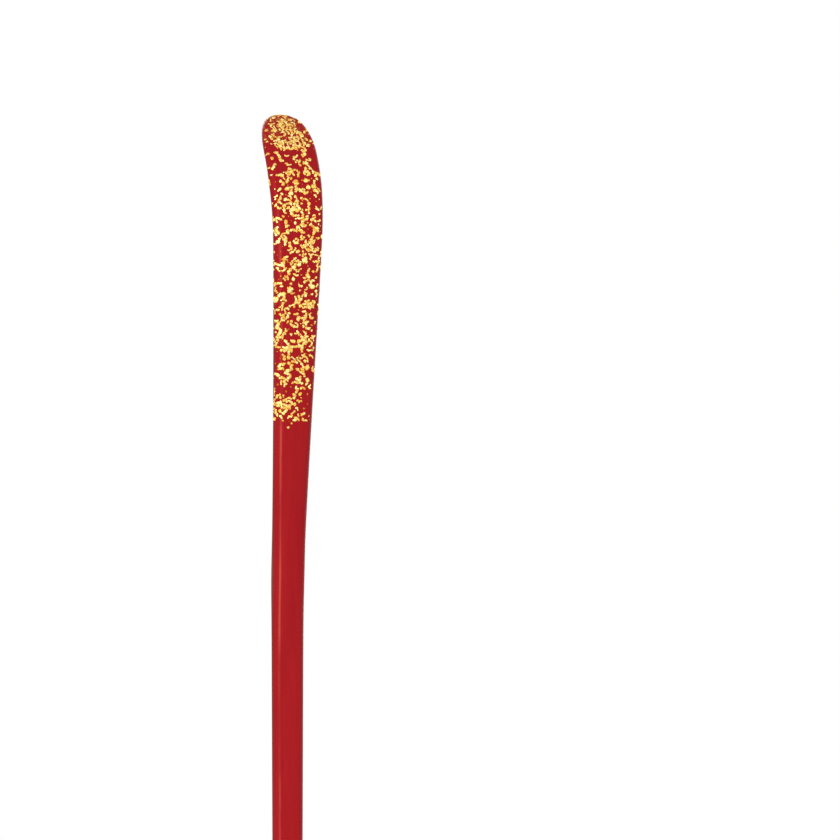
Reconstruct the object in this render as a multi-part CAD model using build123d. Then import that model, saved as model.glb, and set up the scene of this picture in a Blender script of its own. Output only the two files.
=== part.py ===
"""A bamboo tea scoop with a lacquered, gold-flaked back.

The scoop stands on its cut end with the tip up, as it is drawn. The origin is the middle of
the cut end, +Z runs up the handle to the tip, -Y is the bare front face with the groove, and
+Y is the lacquered back. Lengths are millimetres and angles degrees.
"""

from build123d import *

import math
import os
import random

# Overall length, from the cut end to the top of the curled tip, and where the node is on it
LENGTH = 182.0
NODE_BELOW_TIP = 90.3

# Widths of the bamboo, across the front
TIP_WIDTH = 10.6
NODE_WIDTH = 6.3
END_WIDTH = 5.5
FULL_WIDTH_BELOW_TIP = 19.0
flare_power_share = 1.38

# Thicknesses of the bamboo, front to back
END_THICK = 2.8
HANDLE_THICK = 3.0
NODE_THICK = 3.6
HOLLOW_THICK = 1.6
TIP_THICK = 1.1
NODE_SPREAD = 10.0

# The line that the slip was bent to: a straight handle, a low arch at the node, a straight
# shank and the bend that makes the hollow
ARCH_ANGLE = 5.4
ARCH_RADIUS = 200.0
BEND_ANGLE = 58.5
BEND_RADIUS = 27.8

# The section: bevels along the edges, the crown of the back and of the skin, and the groove
BACK_BEVEL = 1.15
FRONT_BEVEL = 1.2
HOLLOW_BACK_BEVEL = 0.65
HOLLOW_FRONT_BEVEL = 0.5
TIP_BACK_BEVEL = 0.35
TIP_FRONT_BEVEL = 0.25
BACK_CROWN = 0.15
SKIN_CROWN = 0.2
GROOVE_DEPTH = 0.75
HOLLOW_DEPTH = 0.5
GROOVE_START = 4.0
GROOVE_RUN_IN = 12.0
groove_width_share = 0.56
hollow_width_share = 0.72
groove_shoulder_share = 0.2
crown_shoulder_share = 0.7

# The sheath scar, a fine ridge across the front at the node
SCAR_HEIGHT = 0.25
SCAR_LENGTH = 1.8

# The rounded tip, whose outline stays full at the sides and top, and the trimmed cut end
TIP_ROUNDING = 10.5
tip_side_share = 0.62
tip_top_share = 0.72
TRIM = 0.45
TRIM_ANGLE = 45.0

# The two coats of lacquer. They stop short of the front bevels and of the cut end.
GROUND_COAT = 0.12
TOP_COAT = 0.1
COAT_SETBACK = 0.08
COAT_STOP = 0.8

# The pieces of gold leaf, from the tip down to a straight edge, on a thin bed of tacky lacquer
LEAF_RUN = 63.0
LEAF_THICK = 0.05
LEAF_BED = 0.02
LEAF_RADIUS = 0.95
LEAF_GAP = 0.08
LEAF_TRIES = 9000
LEAF_SEED = 11
LEAF_CORNERS = (5, 7)
smallest_leaf_share = 0.28
leaf_reach_shares = (0.65, 1.0)
leaf_turn_share = 0.3

# How far cuts run past what they cut, and into how many steps each stretch is divided
OVERRUN = 4.0
ARCH_STEPS, SHANK_STEPS, BEND_STEPS = 8, 10, 14

ARCH = math.radians(ARCH_ANGLE)
TIP_LEAN = math.radians(ARCH_ANGLE - BEND_ANGLE)
# How much a corner cut at 45 degrees grows on each side under an even coat, as a share of it
corner_growth_share = 2 - math.sqrt(2)


def stretches():
    """The bent line, from the cut end up, as (length, lean at the far end in radians)."""
    arch_rise = ARCH_RADIUS * math.sin(ARCH)
    bend_rise = BEND_RADIUS * (math.sin(ARCH) - math.sin(TIP_LEAN))
    coats = GROUND_COAT + TOP_COAT
    tip_edge = (TIP_THICK / 2 + coats) * math.sin(-TIP_LEAN) + coats * math.cos(TIP_LEAN)
    handle = LENGTH - NODE_BELOW_TIP - arch_rise / 2
    shank = (LENGTH - handle - arch_rise - bend_rise - tip_edge) / math.cos(ARCH)
    return [
        (handle, 0),
        (ARCH_RADIUS * ARCH, ARCH),
        (shank, ARCH),
        (BEND_RADIUS * (ARCH - TIP_LEAN), TIP_LEAN),
    ]


HANDLE_LENGTH, ARCH_LENGTH, SHANK_LENGTH, BEND_LENGTH = [length for length, _ in stretches()]
NODE = HANDLE_LENGTH + ARCH_LENGTH / 2
BEND = HANDLE_LENGTH + ARCH_LENGTH + SHANK_LENGTH
TIP = BEND + BEND_LENGTH


def spine(s):
    """(y, z, lean) of the bent line at the distance s along it from the cut end. Past the tip it
    runs straight on."""
    y = z = lean = 0
    for length, end_lean in stretches():
        run = min(s, length)
        turned = (end_lean - lean) * run / length
        if turned:
            radius = run / turned
            y += radius * (math.cos(lean) - math.cos(lean + turned))
            z += radius * (math.sin(lean + turned) - math.sin(lean))
        else:
            y += run * math.sin(lean)
            z += run * math.cos(lean)
        lean += turned
        s -= run
    return y + s * math.sin(lean), z + s * math.cos(lean), lean


def cross_plane(s):
    """The plane across the slip at s: its x is +X and its y points to the back."""
    y, z, lean = spine(s)
    return Plane(origin=(0, y, z), x_dir=(1, 0, 0), z_dir=(0, math.sin(lean), math.cos(lean)))


def between(s, stops):
    """The value at s on smooth steps between (distance, value) stops."""
    if s <= stops[0][0]:
        return stops[0][1]
    for (s0, v0), (s1, v1) in zip(stops, stops[1:]):
        if s <= s1:
            share = (s - s0) / (s1 - s0)
            return v0 + (v1 - v0) * share**2 * (3 - 2 * share)
    return stops[-1][1]


def half_width(s):
    if s <= NODE:
        return (END_WIDTH + (NODE_WIDTH - END_WIDTH) * s / NODE) / 2
    flared = min(1, (s - NODE) / (TIP - FULL_WIDTH_BELOW_TIP - NODE))
    return (NODE_WIDTH + (TIP_WIDTH - NODE_WIDTH) * flared**flare_power_share) / 2


def thickness(s):
    return between(
        s,
        [
            (0, END_THICK),
            (NODE - NODE_SPREAD, HANDLE_THICK),
            (NODE, NODE_THICK),
            (NODE + NODE_SPREAD, HANDLE_THICK),
            (BEND - BEND_LENGTH / 2, HANDLE_THICK),
            (BEND + BEND_LENGTH / 4, HOLLOW_THICK),
            (TIP, TIP_THICK),
        ],
    )


def dip(s):
    """How far the front sinks along its middle line. Below the node it stands proud instead."""
    return between(
        s,
        [
            (NODE + GROOVE_START, -SKIN_CROWN),
            (NODE + GROOVE_START + GROOVE_RUN_IN, GROOVE_DEPTH),
            (BEND, GROOVE_DEPTH),
            (BEND + BEND_LENGTH / 2, HOLLOW_DEPTH),
            (TIP, 0),
        ],
    )


def bevels(s):
    """The bevels along the front and back edges."""
    places = (BEND - BEND_LENGTH / 2, BEND + BEND_LENGTH / 4, TIP)
    front = (FRONT_BEVEL, HOLLOW_FRONT_BEVEL, TIP_FRONT_BEVEL)
    back = (BACK_BEVEL, HOLLOW_BACK_BEVEL, TIP_BACK_BEVEL)
    return between(s, list(zip(places, front))), between(s, list(zip(places, back)))


def front_curve(s, half, front):
    """The front of a section: crowned skin on the handle, a groove with soft shoulders above."""
    sink = dip(s)
    groove = half * between(s, [(BEND, groove_width_share), (TIP, hollow_width_share)])
    shoulder = front + sink * (groove_shoulder_share if sink > 0 else crown_shoulder_share)
    return Spline((-half, front), (-groove, shoulder), (0, front + sink), (groove, shoulder), (half, front))


def closed_section(s, front, right):
    """A face across the slip from its front curve and the points down its right side."""
    left = [(-x, v) for x, v in right]
    crown = (0, right[-1][1] + BACK_CROWN)
    outline = [front, Polyline(*right), ThreePointArc(right[-1], crown, left[-1]), Polyline(*left)]
    return cross_plane(s) * make_face(outline)


def bamboo_section(s):
    half, reach = half_width(s), thickness(s) / 2
    front_bevel, back_bevel = bevels(s)
    right = [
        (half - front_bevel, -reach),
        (half, front_bevel - reach),
        (half, reach - back_bevel),
        (half - back_bevel, reach),
    ]
    return closed_section(s, front_curve(s, half - front_bevel, -reach), right)


def coat_depth(coats):
    return (0, GROUND_COAT, GROUND_COAT + TOP_COAT)[coats]


def outside_corners(s, coats):
    """The right side of the section under the first coats, from where they end near the front."""
    coat, (front_bevel, back_bevel) = coat_depth(coats), bevels(s)
    half, reach = half_width(s) + coat, thickness(s) / 2
    edge = front_bevel + coats * COAT_SETBACK + coat - reach
    back_bevel += coat * corner_growth_share
    return [(half, edge), (half, reach + coat - back_bevel), (half - back_bevel, reach + coat)]


def coated_section(s, coats):
    """The section under the first coats: larger at the sides and back, with its front inside the
    bamboo, where each coat feathers out a little behind the one under it."""
    corners = outside_corners(s, coats)
    inner = coat_depth(coats) + COAT_SETBACK
    half, edge = corners[0][0] - inner, corners[0][1] - inner
    front = Polyline((-half, edge), (0, edge + dip(s)), (half, edge))
    return closed_section(s, front, [(half, edge), *corners])


def station_places():
    """Where the sections stand: at the ends of the straight handle, in even steps along the rest,
    and past the tip, where the rounding is cut."""
    places = [0]
    runs = ((HANDLE_LENGTH, ARCH_LENGTH, ARCH_STEPS), (BEND - SHANK_LENGTH, SHANK_LENGTH, SHANK_STEPS))
    for start, length, steps in (*runs, (BEND, BEND_LENGTH, BEND_STEPS)):
        places += [start + length * step / steps for step in range(steps)]
    return [*places, TIP, TIP + OVERRUN / 2]


def tip_offcut(coats=0):
    """What is cut away round the tip to leave its rounded outline."""
    half, top = TIP_WIDTH / 2 + coat_depth(coats), coat_depth(coats)
    shoulder, crown = tip_side_share * (TIP_ROUNDING + top) - TIP_ROUNDING, tip_top_share * half
    right = Bezier((half, -TIP_ROUNDING), (half, shoulder), (crown, top), (0, top))
    rounded = make_face([right, mirror(right, Plane.YZ), Line(right @ 0, (-half, -TIP_ROUNDING))])
    blank = Rectangle(2 * (half + OVERRUN), TIP_ROUNDING + OVERRUN, align=(Align.CENTER, Align.MIN))
    across = cross_plane(TIP)
    face = Plane(origin=across.origin, x_dir=(1, 0, 0), z_dir=-across.y_dir)
    return extrude(face * (Pos(0, -TIP_ROUNDING) * blank - rounded), amount=OVERRUN, both=True)


def sheath_scar():
    """The fine ridge that the culm sheath left across the front at the node."""
    ridges = []
    for step, height in ((-1, -SCAR_HEIGHT), (0, SCAR_HEIGHT), (1, -SCAR_HEIGHT)):
        s = NODE + step * SCAR_LENGTH
        half, front = half_width(s) - FRONT_BEVEL, -thickness(s) / 2 - height
        back = Polyline((half, front), (half, 0), (-half, 0), (-half, front))
        ridges.append(cross_plane(s) * make_face([front_curve(s, half, front), back]))
    return loft(ridges, ruled=True)


def end_trim():
    """The knife cuts that trim the edges of the cut end, as a block round a tapered core."""
    half, reach = END_WIDTH / 2, END_THICK / 2
    core = extrude(Rectangle(2 * (half - TRIM), 2 * (reach - TRIM)), amount=OVERRUN, taper=-TRIM_ANGLE)
    return extrude(Rectangle(4 * half, 4 * reach), amount=2 * TRIM) - core


def bamboo_slip():
    slip = loft([bamboo_section(s) for s in station_places()], ruled=True) - tip_offcut()
    return slip + sheath_scar() - end_trim()


def coated_form(coats):
    """The scoop with its first coats on, from where they stop above the cut end."""
    form = loft([coated_section(s, coats) for s in station_places()], ruled=True)
    return split(form - tip_offcut(coats), Plane.XY.offset(COAT_STOP), keep=Keep.TOP)


def outside_place(s, across):
    """A place on the lacquered outside, at s and so far round from the back's middle line, as
    (x, v, tilt of its normal in radians from the back's normal towards +X, its facet)."""
    (half, edge), (_, corner), (flat, reach) = outside_corners(s, 2)
    side, slant = math.copysign(1, across), math.hypot(half - flat, reach - corner)
    past = abs(across) - flat
    if past <= 0:
        rise = BACK_CROWN * (1 - (across / flat) ** 2)
        return across, reach + rise, 2 * BACK_CROWN * across / flat**2, "back"
    if past <= slant:
        step = past / math.sqrt(2)
        return side * (flat + step), reach - step, side * math.pi / 4, "bevel"
    down = corner - (past - slant)
    return side * half, down, side * math.pi / 2, "side" if down > edge else "front"


def leaf_fits(s, across, radius):
    """Whether a piece of leaf lies on one facet of the outside, within the rounded tip."""
    facets = {outside_place(s, across + way * radius)[3] for way in (-1, 0, 1)}
    rounded = (s + radius - TIP + TIP_ROUNDING) / TIP_ROUNDING
    if len(facets) > 1 or facets == {"front"} or rounded > 1:
        return False
    room = TIP_WIDTH / 2 * math.sqrt(1 - max(0, rounded) ** 2)
    return rounded < 0 or abs(outside_place(s, across)[0]) + radius < room


def leaf_layout():
    """The pieces of leaf as (s, across, radius), the large ones laid first."""
    dice, laid = random.Random(LEAF_SEED), []
    lowest, round_the_back = TIP - LEAF_RUN, TIP_WIDTH / 2 + HANDLE_THICK
    for attempt in range(LEAF_TRIES):
        radius = LEAF_RADIUS * (1 - (1 - smallest_leaf_share) * attempt / LEAF_TRIES)
        s = dice.uniform(lowest + radius, TIP)
        across = dice.uniform(-round_the_back, round_the_back)
        gaps = (math.hypot(s - s1, across - a1) - radius - r1 for s1, a1, r1 in laid)
        if leaf_fits(s, across, radius) and all(gap > LEAF_GAP for gap in gaps):
            laid.append((s, across, radius))
    return laid


def leaf(s, across, radius, dice):
    """One piece of leaf, an irregular flat scrap, on its bed of tacky lacquer."""
    x, v, tilt, _ = outside_place(s, across)
    plane = cross_plane(s)
    outward = plane.x_dir * math.sin(tilt) + plane.y_dir * math.cos(tilt)
    corners, outline = dice.randint(*LEAF_CORNERS), []
    for corner in range(corners):
        turn = math.tau * (corner + dice.uniform(-leaf_turn_share, leaf_turn_share)) / corners
        reach = radius * dice.uniform(*leaf_reach_shares)
        outline.append((reach * math.cos(turn), reach * math.sin(turn)))
    seat = Plane(origin=plane.from_local_coords((x, v)), x_dir=plane.z_dir, z_dir=outward)
    scrap = make_face(Polyline(*outline, close=True))
    return extrude(seat.offset(LEAF_BED) * scrap, amount=LEAF_THICK)


def gold_leaf():
    """The pieces of leaf in three zones: on the curled tip, behind the hollow and on the neck."""
    dice, zones = random.Random(LEAF_SEED), {"tip": [], "hollow": [], "neck": []}
    for s, across, radius in leaf_layout():
        zone = "neck" if s < BEND else "hollow" if s < BEND + BEND_LENGTH / 2 else "tip"
        zones[zone].append(leaf(s, across, radius, dice))
    return {f"gold_leaf_{zone}": Compound(children=pieces) for zone, pieces in zones.items()}


def write(name, shape):
    export_step(shape, f"parts/{name}.step")
    print(name, "solids", len(shape.solids()), "volume", round(shape.volume, 2))


os.makedirs("parts", exist_ok=True)
slip = bamboo_slip()
primed = coated_form(1)
write("bamboo_slip", slip)
write("lacquer_ground_coat", primed - slip)
write("vermilion_coat", coated_form(2) - primed - slip)
for name, pieces in gold_leaf().items():
    write(name, pieces)
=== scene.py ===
# %% [markdown]
# A bamboo tea scoop, lacquered and gold-flaked on its back.
# The imported CAD part is the frame: every piece below is made in metres, in its coordinates.
# The scoop stands on its cut end, +Z runs up to the tip, -Y is the bare bamboo front and +Y
# is the lacquered back. This first cell loads the frame.

# %% Load the frame
import math
import random

import bmesh
import bpy
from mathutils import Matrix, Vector


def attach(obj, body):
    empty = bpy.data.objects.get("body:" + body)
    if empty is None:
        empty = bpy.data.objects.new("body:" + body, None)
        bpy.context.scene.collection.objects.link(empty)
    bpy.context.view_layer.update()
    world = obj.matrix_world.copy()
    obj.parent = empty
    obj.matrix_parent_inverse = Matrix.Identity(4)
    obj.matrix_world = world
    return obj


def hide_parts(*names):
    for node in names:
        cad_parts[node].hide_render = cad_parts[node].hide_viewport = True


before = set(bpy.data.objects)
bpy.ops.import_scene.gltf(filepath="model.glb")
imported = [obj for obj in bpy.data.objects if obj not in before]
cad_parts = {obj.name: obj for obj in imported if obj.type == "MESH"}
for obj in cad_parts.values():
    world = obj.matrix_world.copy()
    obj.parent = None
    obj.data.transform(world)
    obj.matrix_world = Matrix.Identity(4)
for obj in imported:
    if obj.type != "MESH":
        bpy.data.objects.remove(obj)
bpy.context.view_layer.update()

# %% [markdown]
# The scoop is one thin slip of bamboo, so its whole shape follows from a bent line and from
# what its section does along that line: how wide, how thick, how rounded at the edges, and
# how deep the groove is. The sizes are the CAD part's, set finer where the real outline asks
# for it: widths, thicknesses and roundings by one to three tenths of a millimetre, the bend by
# less than half a degree, and the place of full width by 2 mm. All of it stays inside the
# part's box. The sizes are written here once, in millimetres, and each piece below reads them.
# A few are plain numbers: the powers say how late the width flares towards the tip and how
# softly an arris turns, and UPRIGHT and LEVEL say for what share the tip's outline stays so.

# %% The sizes of the scoop
mm = 0.001
LENGTH, NODE_BELOW_TIP = 182.0, 90.3
TIP_WIDTH, NODE_WIDTH, END_WIDTH, FULL_WIDTH_BELOW_TIP = 10.4, 6.1, 5.4, 17.0
END_THICK, HANDLE_THICK, NODE_THICK, HOLLOW_THICK, TIP_THICK = 2.5, 2.7, 3.3, 1.4, 1.0
NODE_SPREAD, RIDGE, RIDGE_SPREAD = 10.0, 0.22, 0.75
ARCH_ANGLE, ARCH_RADIUS, BEND_ANGLE, BEND_RADIUS = 5.5, 200.0, 58.9, 27.8
ARCH, TIP_LEAN = math.radians(ARCH_ANGLE), math.radians(ARCH_ANGLE - BEND_ANGLE)
BACK_CROWN, SKIN_CROWN, GROOVE_DEPTH, HOLLOW_DEPTH = 0.15, 0.2, 0.75, 0.5
GROOVE_SHARE, GROOVE_STARTS, GROOVE_FULL = 0.83, 4, 16
TIP_ROUNDING, UPRIGHT, LEVEL, TRIM = 10.3, 0.6, 0.72, 0.45
FLARE_POWER, ARRIS_POWER = 1.3, 1.55
BACK_ROUNDINGS, FRONT_ROUNDINGS = (1.0, 0.8, 0.5), (1.2, 0.5, 0.25)
GROUND_COAT, TOP_COAT, COAT_STOP = 0.12, 0.1, 0.8
COATS = GROUND_COAT + TOP_COAT


def pared(turn, edge, coat):
    """(inset, depth) of an edge pared off flat, its two arrises softened. Turn 0 is at the
    side and 90 degrees is on the face."""
    reach = edge + coat
    return (edge - reach * math.cos(turn) ** ARRIS_POWER,
            edge - reach * math.sin(turn) ** ARRIS_POWER)


def highest(turn):
    """How far the pared rim of the tip rises over the end of the bent line."""
    inset, depth = pared(turn, BACK_ROUNDINGS[2], COATS)
    return (TIP_THICK / 2 - depth) * math.sin(-TIP_LEAN) - inset * math.cos(TIP_LEAN)


rise = ARCH_RADIUS * math.sin(ARCH)
bend_rise = BEND_RADIUS * (math.sin(ARCH) - math.sin(TIP_LEAN))
tip_edge = max(highest(math.radians(turn)) for turn in range(0, 91, 2))
HANDLE = LENGTH - NODE_BELOW_TIP - rise / 2
SHANK = (LENGTH - HANDLE - rise - bend_rise - tip_edge) / math.cos(ARCH)
STRETCHES = [
    (HANDLE, 0),
    (ARCH_RADIUS * ARCH, ARCH),
    (SHANK, ARCH),
    (BEND_RADIUS * (ARCH - TIP_LEAN), TIP_LEAN),
]
NODE = HANDLE + STRETCHES[1][0] / 2
BEND = HANDLE + STRETCHES[1][0] + SHANK
BEND_LENGTH = STRETCHES[3][0]
TIP = BEND + BEND_LENGTH
print(f"node {NODE:.1f}, bend from {BEND:.1f}, tip at {TIP:.1f} mm along the slip")


def spine(s):
    """(y, z, lean) of the bent line at the distance s along it."""
    y = z = lean = 0
    for length, end_lean in STRETCHES:
        run = min(s, length)
        turned = (end_lean - lean) * run / length
        if abs(turned) > 1e-9:
            radius = run / turned
            y += radius * (math.cos(lean) - math.cos(lean + turned))
            z += radius * (math.sin(lean + turned) - math.sin(lean))
        else:
            y, z = y + run * math.sin(lean), z + run * math.cos(lean)
        lean, s = lean + turned, s - run
    return y + s * math.sin(lean), z + s * math.cos(lean), lean


def bent(x, v, s):
    """Where a place on the straight slip is on the bent one, in metres."""
    y, z, lean = spine(s)
    return Vector((x, y + v * math.cos(lean), z - v * math.sin(lean))) * mm


def between(s, stops):
    """The value at s on smooth steps between (distance, value) stops."""
    if s <= stops[0][0]:
        return stops[0][1]
    for (s0, v0), (s1, v1) in zip(stops, stops[1:]):
        if s <= s1:
            share = (s - s0) / (s1 - s0)
            return v0 + (v1 - v0) * share**2 * (3 - 2 * share)
    return stops[-1][1]


def half_width(s):
    if s <= NODE:
        return (END_WIDTH + (NODE_WIDTH - END_WIDTH) * s / NODE) / 2
    flared = min(1, (s - NODE) / (TIP - FULL_WIDTH_BELOW_TIP - NODE))
    return (NODE_WIDTH + (TIP_WIDTH - NODE_WIDTH) * flared**FLARE_POWER) / 2


def thickness(s):
    return between(s, [(0, END_THICK), (NODE - NODE_SPREAD, HANDLE_THICK), (NODE, NODE_THICK),
                       (NODE + NODE_SPREAD, HANDLE_THICK), (BEND - BEND_LENGTH / 2, HANDLE_THICK),
                       (BEND + BEND_LENGTH / 4, HOLLOW_THICK), (TIP, TIP_THICK)])


def rounding(s, sizes):
    """How far an edge is rounded at s: on the handle, at the hollow and at the tip."""
    places = (BEND - BEND_LENGTH / 2, BEND + BEND_LENGTH / 4, TIP)
    return between(s, list(zip(places, sizes)))


def front_rounding(s):
    return rounding(s, FRONT_ROUNDINGS)


def back_rounding(s):
    return rounding(s, BACK_ROUNDINGS)


def dip(s):
    """How far the front sinks along its middle. Below the node it stands proud instead."""
    return between(s, [(NODE + GROOVE_STARTS, -SKIN_CROWN), (NODE + GROOVE_FULL, GROOVE_DEPTH),
                       (BEND, GROOVE_DEPTH), (BEND + BEND_LENGTH / 2, HOLLOW_DEPTH), (TIP, 0)])


# %% [markdown]
# Seen from the front, the tip's outline is nearly an ellipse with a flatter top. A grid of
# straight rows and columns would leave a jagged rim there, so the last rows are curved to run
# beside the outline, like the ripples in a square tray that has a round edge. The function
# below takes a column from -1 to 1 and a row, and says where they meet on the slip's plan.

# %% The plan of the slip
TIP_START = TIP - TIP_ROUNDING


def tip_outline(turn):
    """A point of the rounded outline: turn 0 is at the side and 1 at the top."""
    half, back = TIP_WIDTH / 2, 1 - turn
    across = back**3 * half + 3 * back**2 * turn * half + 3 * back * turn**2 * LEVEL * half
    along = 3 * back**2 * turn * UPRIGHT * TIP_ROUNDING
    along += (3 * back * turn**2 + turn**3) * TIP_ROUNDING
    return across, along


def plan(column, row, inset):
    """(x, s) of a column on a row. Rows up to 1 lie along the slip, and those from 1 to 2 are
    in the rounded tip. Inset is how far the outline is drawn in."""
    if row <= 1:
        s = row * TIP_START
        return column * (half_width(s) - inset), s
    ring = max(abs(column), row - 1)
    if abs(column) >= row - 1:
        turn = 0.5 * (row - 1) / abs(column)
    else:
        turn = 1 - 0.5 * abs(column) / (row - 1)
    across, along = tip_outline(turn)
    drawn = ring * (1 - inset / math.hypot(across, along))
    return math.copysign(across * drawn, column), TIP_START + along * drawn


# %% [markdown]
# A craftsman starts from a straight split of bamboo, cuts it to outline, rounds its edges and
# bends it over heat. The model starts from a straight bar too: a cube, sawn by planes across
# all three axes so that it has the rows, columns and edge strips that the shape needs. One
# function then moves each vertex from its place in the bar to its place on the scoop, at a
# given coat's height over the bamboo. Extruding ring after ring would give the same rows, but
# then the rounded tip's rim would need a separate fill. Each vertex also keeps its straight
# place in an attribute, so that the materials' grain can follow the bend.

# %% A sawn bar, and the function that shapes it
COLUMNS = [-0.86, -0.7, -0.52, -0.34, -0.17, 0, 0.17, 0.34, 0.52, 0.7, 0.86]
STRIPS = [-0.8, -0.6, -0.35, -0.12, 0.12, 0.35, 0.6, 0.8]
STRIP_TURNS = dict(zip([-1, *STRIPS, 1], (-90, -66, -42, -18, 0, 0, 18, 42, 66, 90)))
STEPS_ALONG = [
    0.45, 1.2, 3, *range(7, 77, 6),
    *(NODE + d for d in (-10, -7, -5, -3.6, -2.6, -1.8, -1.2, -0.7, -0.25, 0.25, 0.7, 1.2, 1.8)),
    *(NODE + d for d in (2.6, 3.6, 5, 6.5, 8, 9.5, 11, 12.5, 14, 15.5, 17, 19)),
    *(NODE + d for d in range(23, 60, 5)),
    *(BEND + 1.6 * step for step in range(-3, 11)),
]
TIP_RINGS = 8
ROWS = [s / TIP_START for s in STEPS_ALONG] + [1 + ring / TIP_RINGS for ring in range(TIP_RINGS)]


def deselect():
    bpy.ops.object.select_all(action="DESELECT")


def sawn_bar(name):
    """A cube two by two by two, cut into rows, columns and edge strips."""
    deselect()
    bpy.ops.mesh.primitive_cube_add(size=2)
    bar = bpy.context.object
    bar.name = bar.data.name = name
    bpy.ops.object.mode_set(mode="EDIT")
    cuts = [((c, 0, 0), (1, 0, 0)) for c in COLUMNS] + [((0, w, 0), (0, 1, 0)) for w in STRIPS]
    for place, normal in cuts + [((0, 0, row - 1), (0, 0, 1)) for row in ROWS]:
        bpy.ops.mesh.select_all(action="SELECT")
        bpy.ops.mesh.bisect(plane_co=place, plane_no=normal)
    bpy.ops.object.mode_set(mode="OBJECT")
    return bar


def nearest(value, choices):
    return min(choices, key=lambda choice: abs(choice - value))


def shaped(column, strip, row, coat):
    """A bar's place, moved to the scoop's skin at a coat's height over the bamboo."""
    strip = nearest(strip, STRIP_TURNS)
    turn = math.radians(abs(STRIP_TURNS[strip]))
    side = 1 if strip > 0 else -1
    s = plan(column, row, 0)[1]
    inset, depth = pared(turn, back_rounding(s) if side > 0 else front_rounding(s), coat)
    v = side * (thickness(s) / 2 - depth)
    if row < ROWS[0] / 2:
        inset, v = inset + TRIM, v * (1 - TRIM / (END_THICK / 2))
    x, s = plan(column, row, inset)
    if strip == 1:
        v += BACK_CROWN * (1 - column**2)
    if strip == -1 and coat == 0:
        sink = dip(s)
        hollow = math.cos(math.pi / 2 * min(1, abs(column) / GROOVE_SHARE)) ** 2
        v += sink * (hollow if sink > 0 else 1 - column**2)
    if side < 0 and coat == 0:
        v -= RIDGE * math.exp(-(((s - NODE) / RIDGE_SPREAD) ** 2)) * math.sin(turn)
    return x, v, s


def point_values(mesh, **kinds):
    """Named values kept at each vertex. All are made first, because making one moves the rest."""
    for name, kind in kinds.items():
        mesh.attributes.new(name, kind, "POINT")
    return [mesh.attributes[name] for name in kinds]


def shape_bar(bar, coat=0):
    """Moves every vertex of a sawn bar to the scoop and keeps its straight place."""
    straight, across, around = point_values(bar.data, straight="FLOAT_VECTOR", across="FLOAT",
                                            around="FLOAT")
    for i, vertex in enumerate(bar.data.vertices):
        column, strip, row = vertex.co
        x, v, s = shaped(column, strip, row + 1, coat)
        straight.data[i].vector = Vector((x, v, s)) * mm
        across.data[i].value = column
        around.data[i].value = STRIP_TURNS[nearest(strip, STRIP_TURNS)] / 90
        vertex.co = bent(x, v, s)


def finish_piece(piece, *modifiers):
    """Adds and applies modifiers, given as (kind, settings), and smooths the shading."""
    deselect()
    bpy.context.view_layer.objects.active = piece
    piece.select_set(True)
    for kind, settings in modifiers:
        modifier = piece.modifiers.new(kind.title(), kind)
        for key, value in settings.items():
            setattr(modifier, key, value)
        bpy.ops.object.modifier_apply(modifier=modifier.name)
    bpy.ops.object.shade_smooth()
    faces = len(piece.data.polygons)
    print(f"{piece.name}: {faces} faces, {[round(d * 1000, 2) for d in piece.dimensions]} mm")


SMOOTH = ("SUBSURF", {"levels": 1, "render_levels": 1})

# %% [markdown]
# The bamboo slip is one piece from the cut end to the tip. Its front shows bare: the skin's
# low crown on the handle, the node's ridge, the natural groove above it and the hollow.

# %% The bamboo slip
bamboo = sawn_bar("bamboo")
shape_bar(bamboo)
finish_piece(bamboo, SMOOTH)
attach(bamboo, "root")
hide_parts("bamboo_slip")

# %% [markdown]
# Two coats of lacquer are brushed over the back and the sides and feather out where the front
# edge starts to round. Each coat starts from another such bar, shaped at its own height. Its
# faces on the front and at the cut end are taken off, and Solidify gives the open skin the
# coat's thickness, which also closes it.

# %% The two coats of lacquer


def coat(name, height, thick, front_strip, node, slot):
    """A coat from its height over the bamboo inwards, kept from a strip of the bar backwards."""
    skin = sawn_bar(name)
    bpy.ops.object.mode_set(mode="EDIT")
    mesh = bmesh.from_edit_mesh(skin.data)
    for face in mesh.faces:
        middle = face.calc_center_median()
        face.select_set(middle.y < front_strip or middle.z < COAT_STOP / TIP_START - 1)
    bmesh.update_edit_mesh(skin.data)
    bpy.ops.mesh.delete(type="FACE")
    bpy.ops.object.mode_set(mode="OBJECT")
    shape_bar(skin, height)
    finish_piece(skin, SMOOTH, ("SOLIDIFY", {"thickness": thick * mm, "offset": -1}))
    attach(skin, "root")
    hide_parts(node)
    return skin


ground = coat("ground_coat", GROUND_COAT, GROUND_COAT, -0.3,
              "lacquer_ground_coat", "ground_lacquer")
vermilion = coat("vermilion", COATS, TOP_COAT, -0.1,
                 "vermilion_coat", "vermilion_lacquer")

# %% [markdown]
# Pieces of gold leaf were dropped on the tacky lacquer, from the tip down to a straight edge.
# They are torn scraps, a few tenths of a millimetre to one and a half across, single or run
# together in strings and clumps, and they drape over the pared edges. One scrap is a circle
# with an inset ring. Its copies get their own torn outline, and each vertex is laid on the
# skin by its distance along the slip and round the section.

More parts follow.
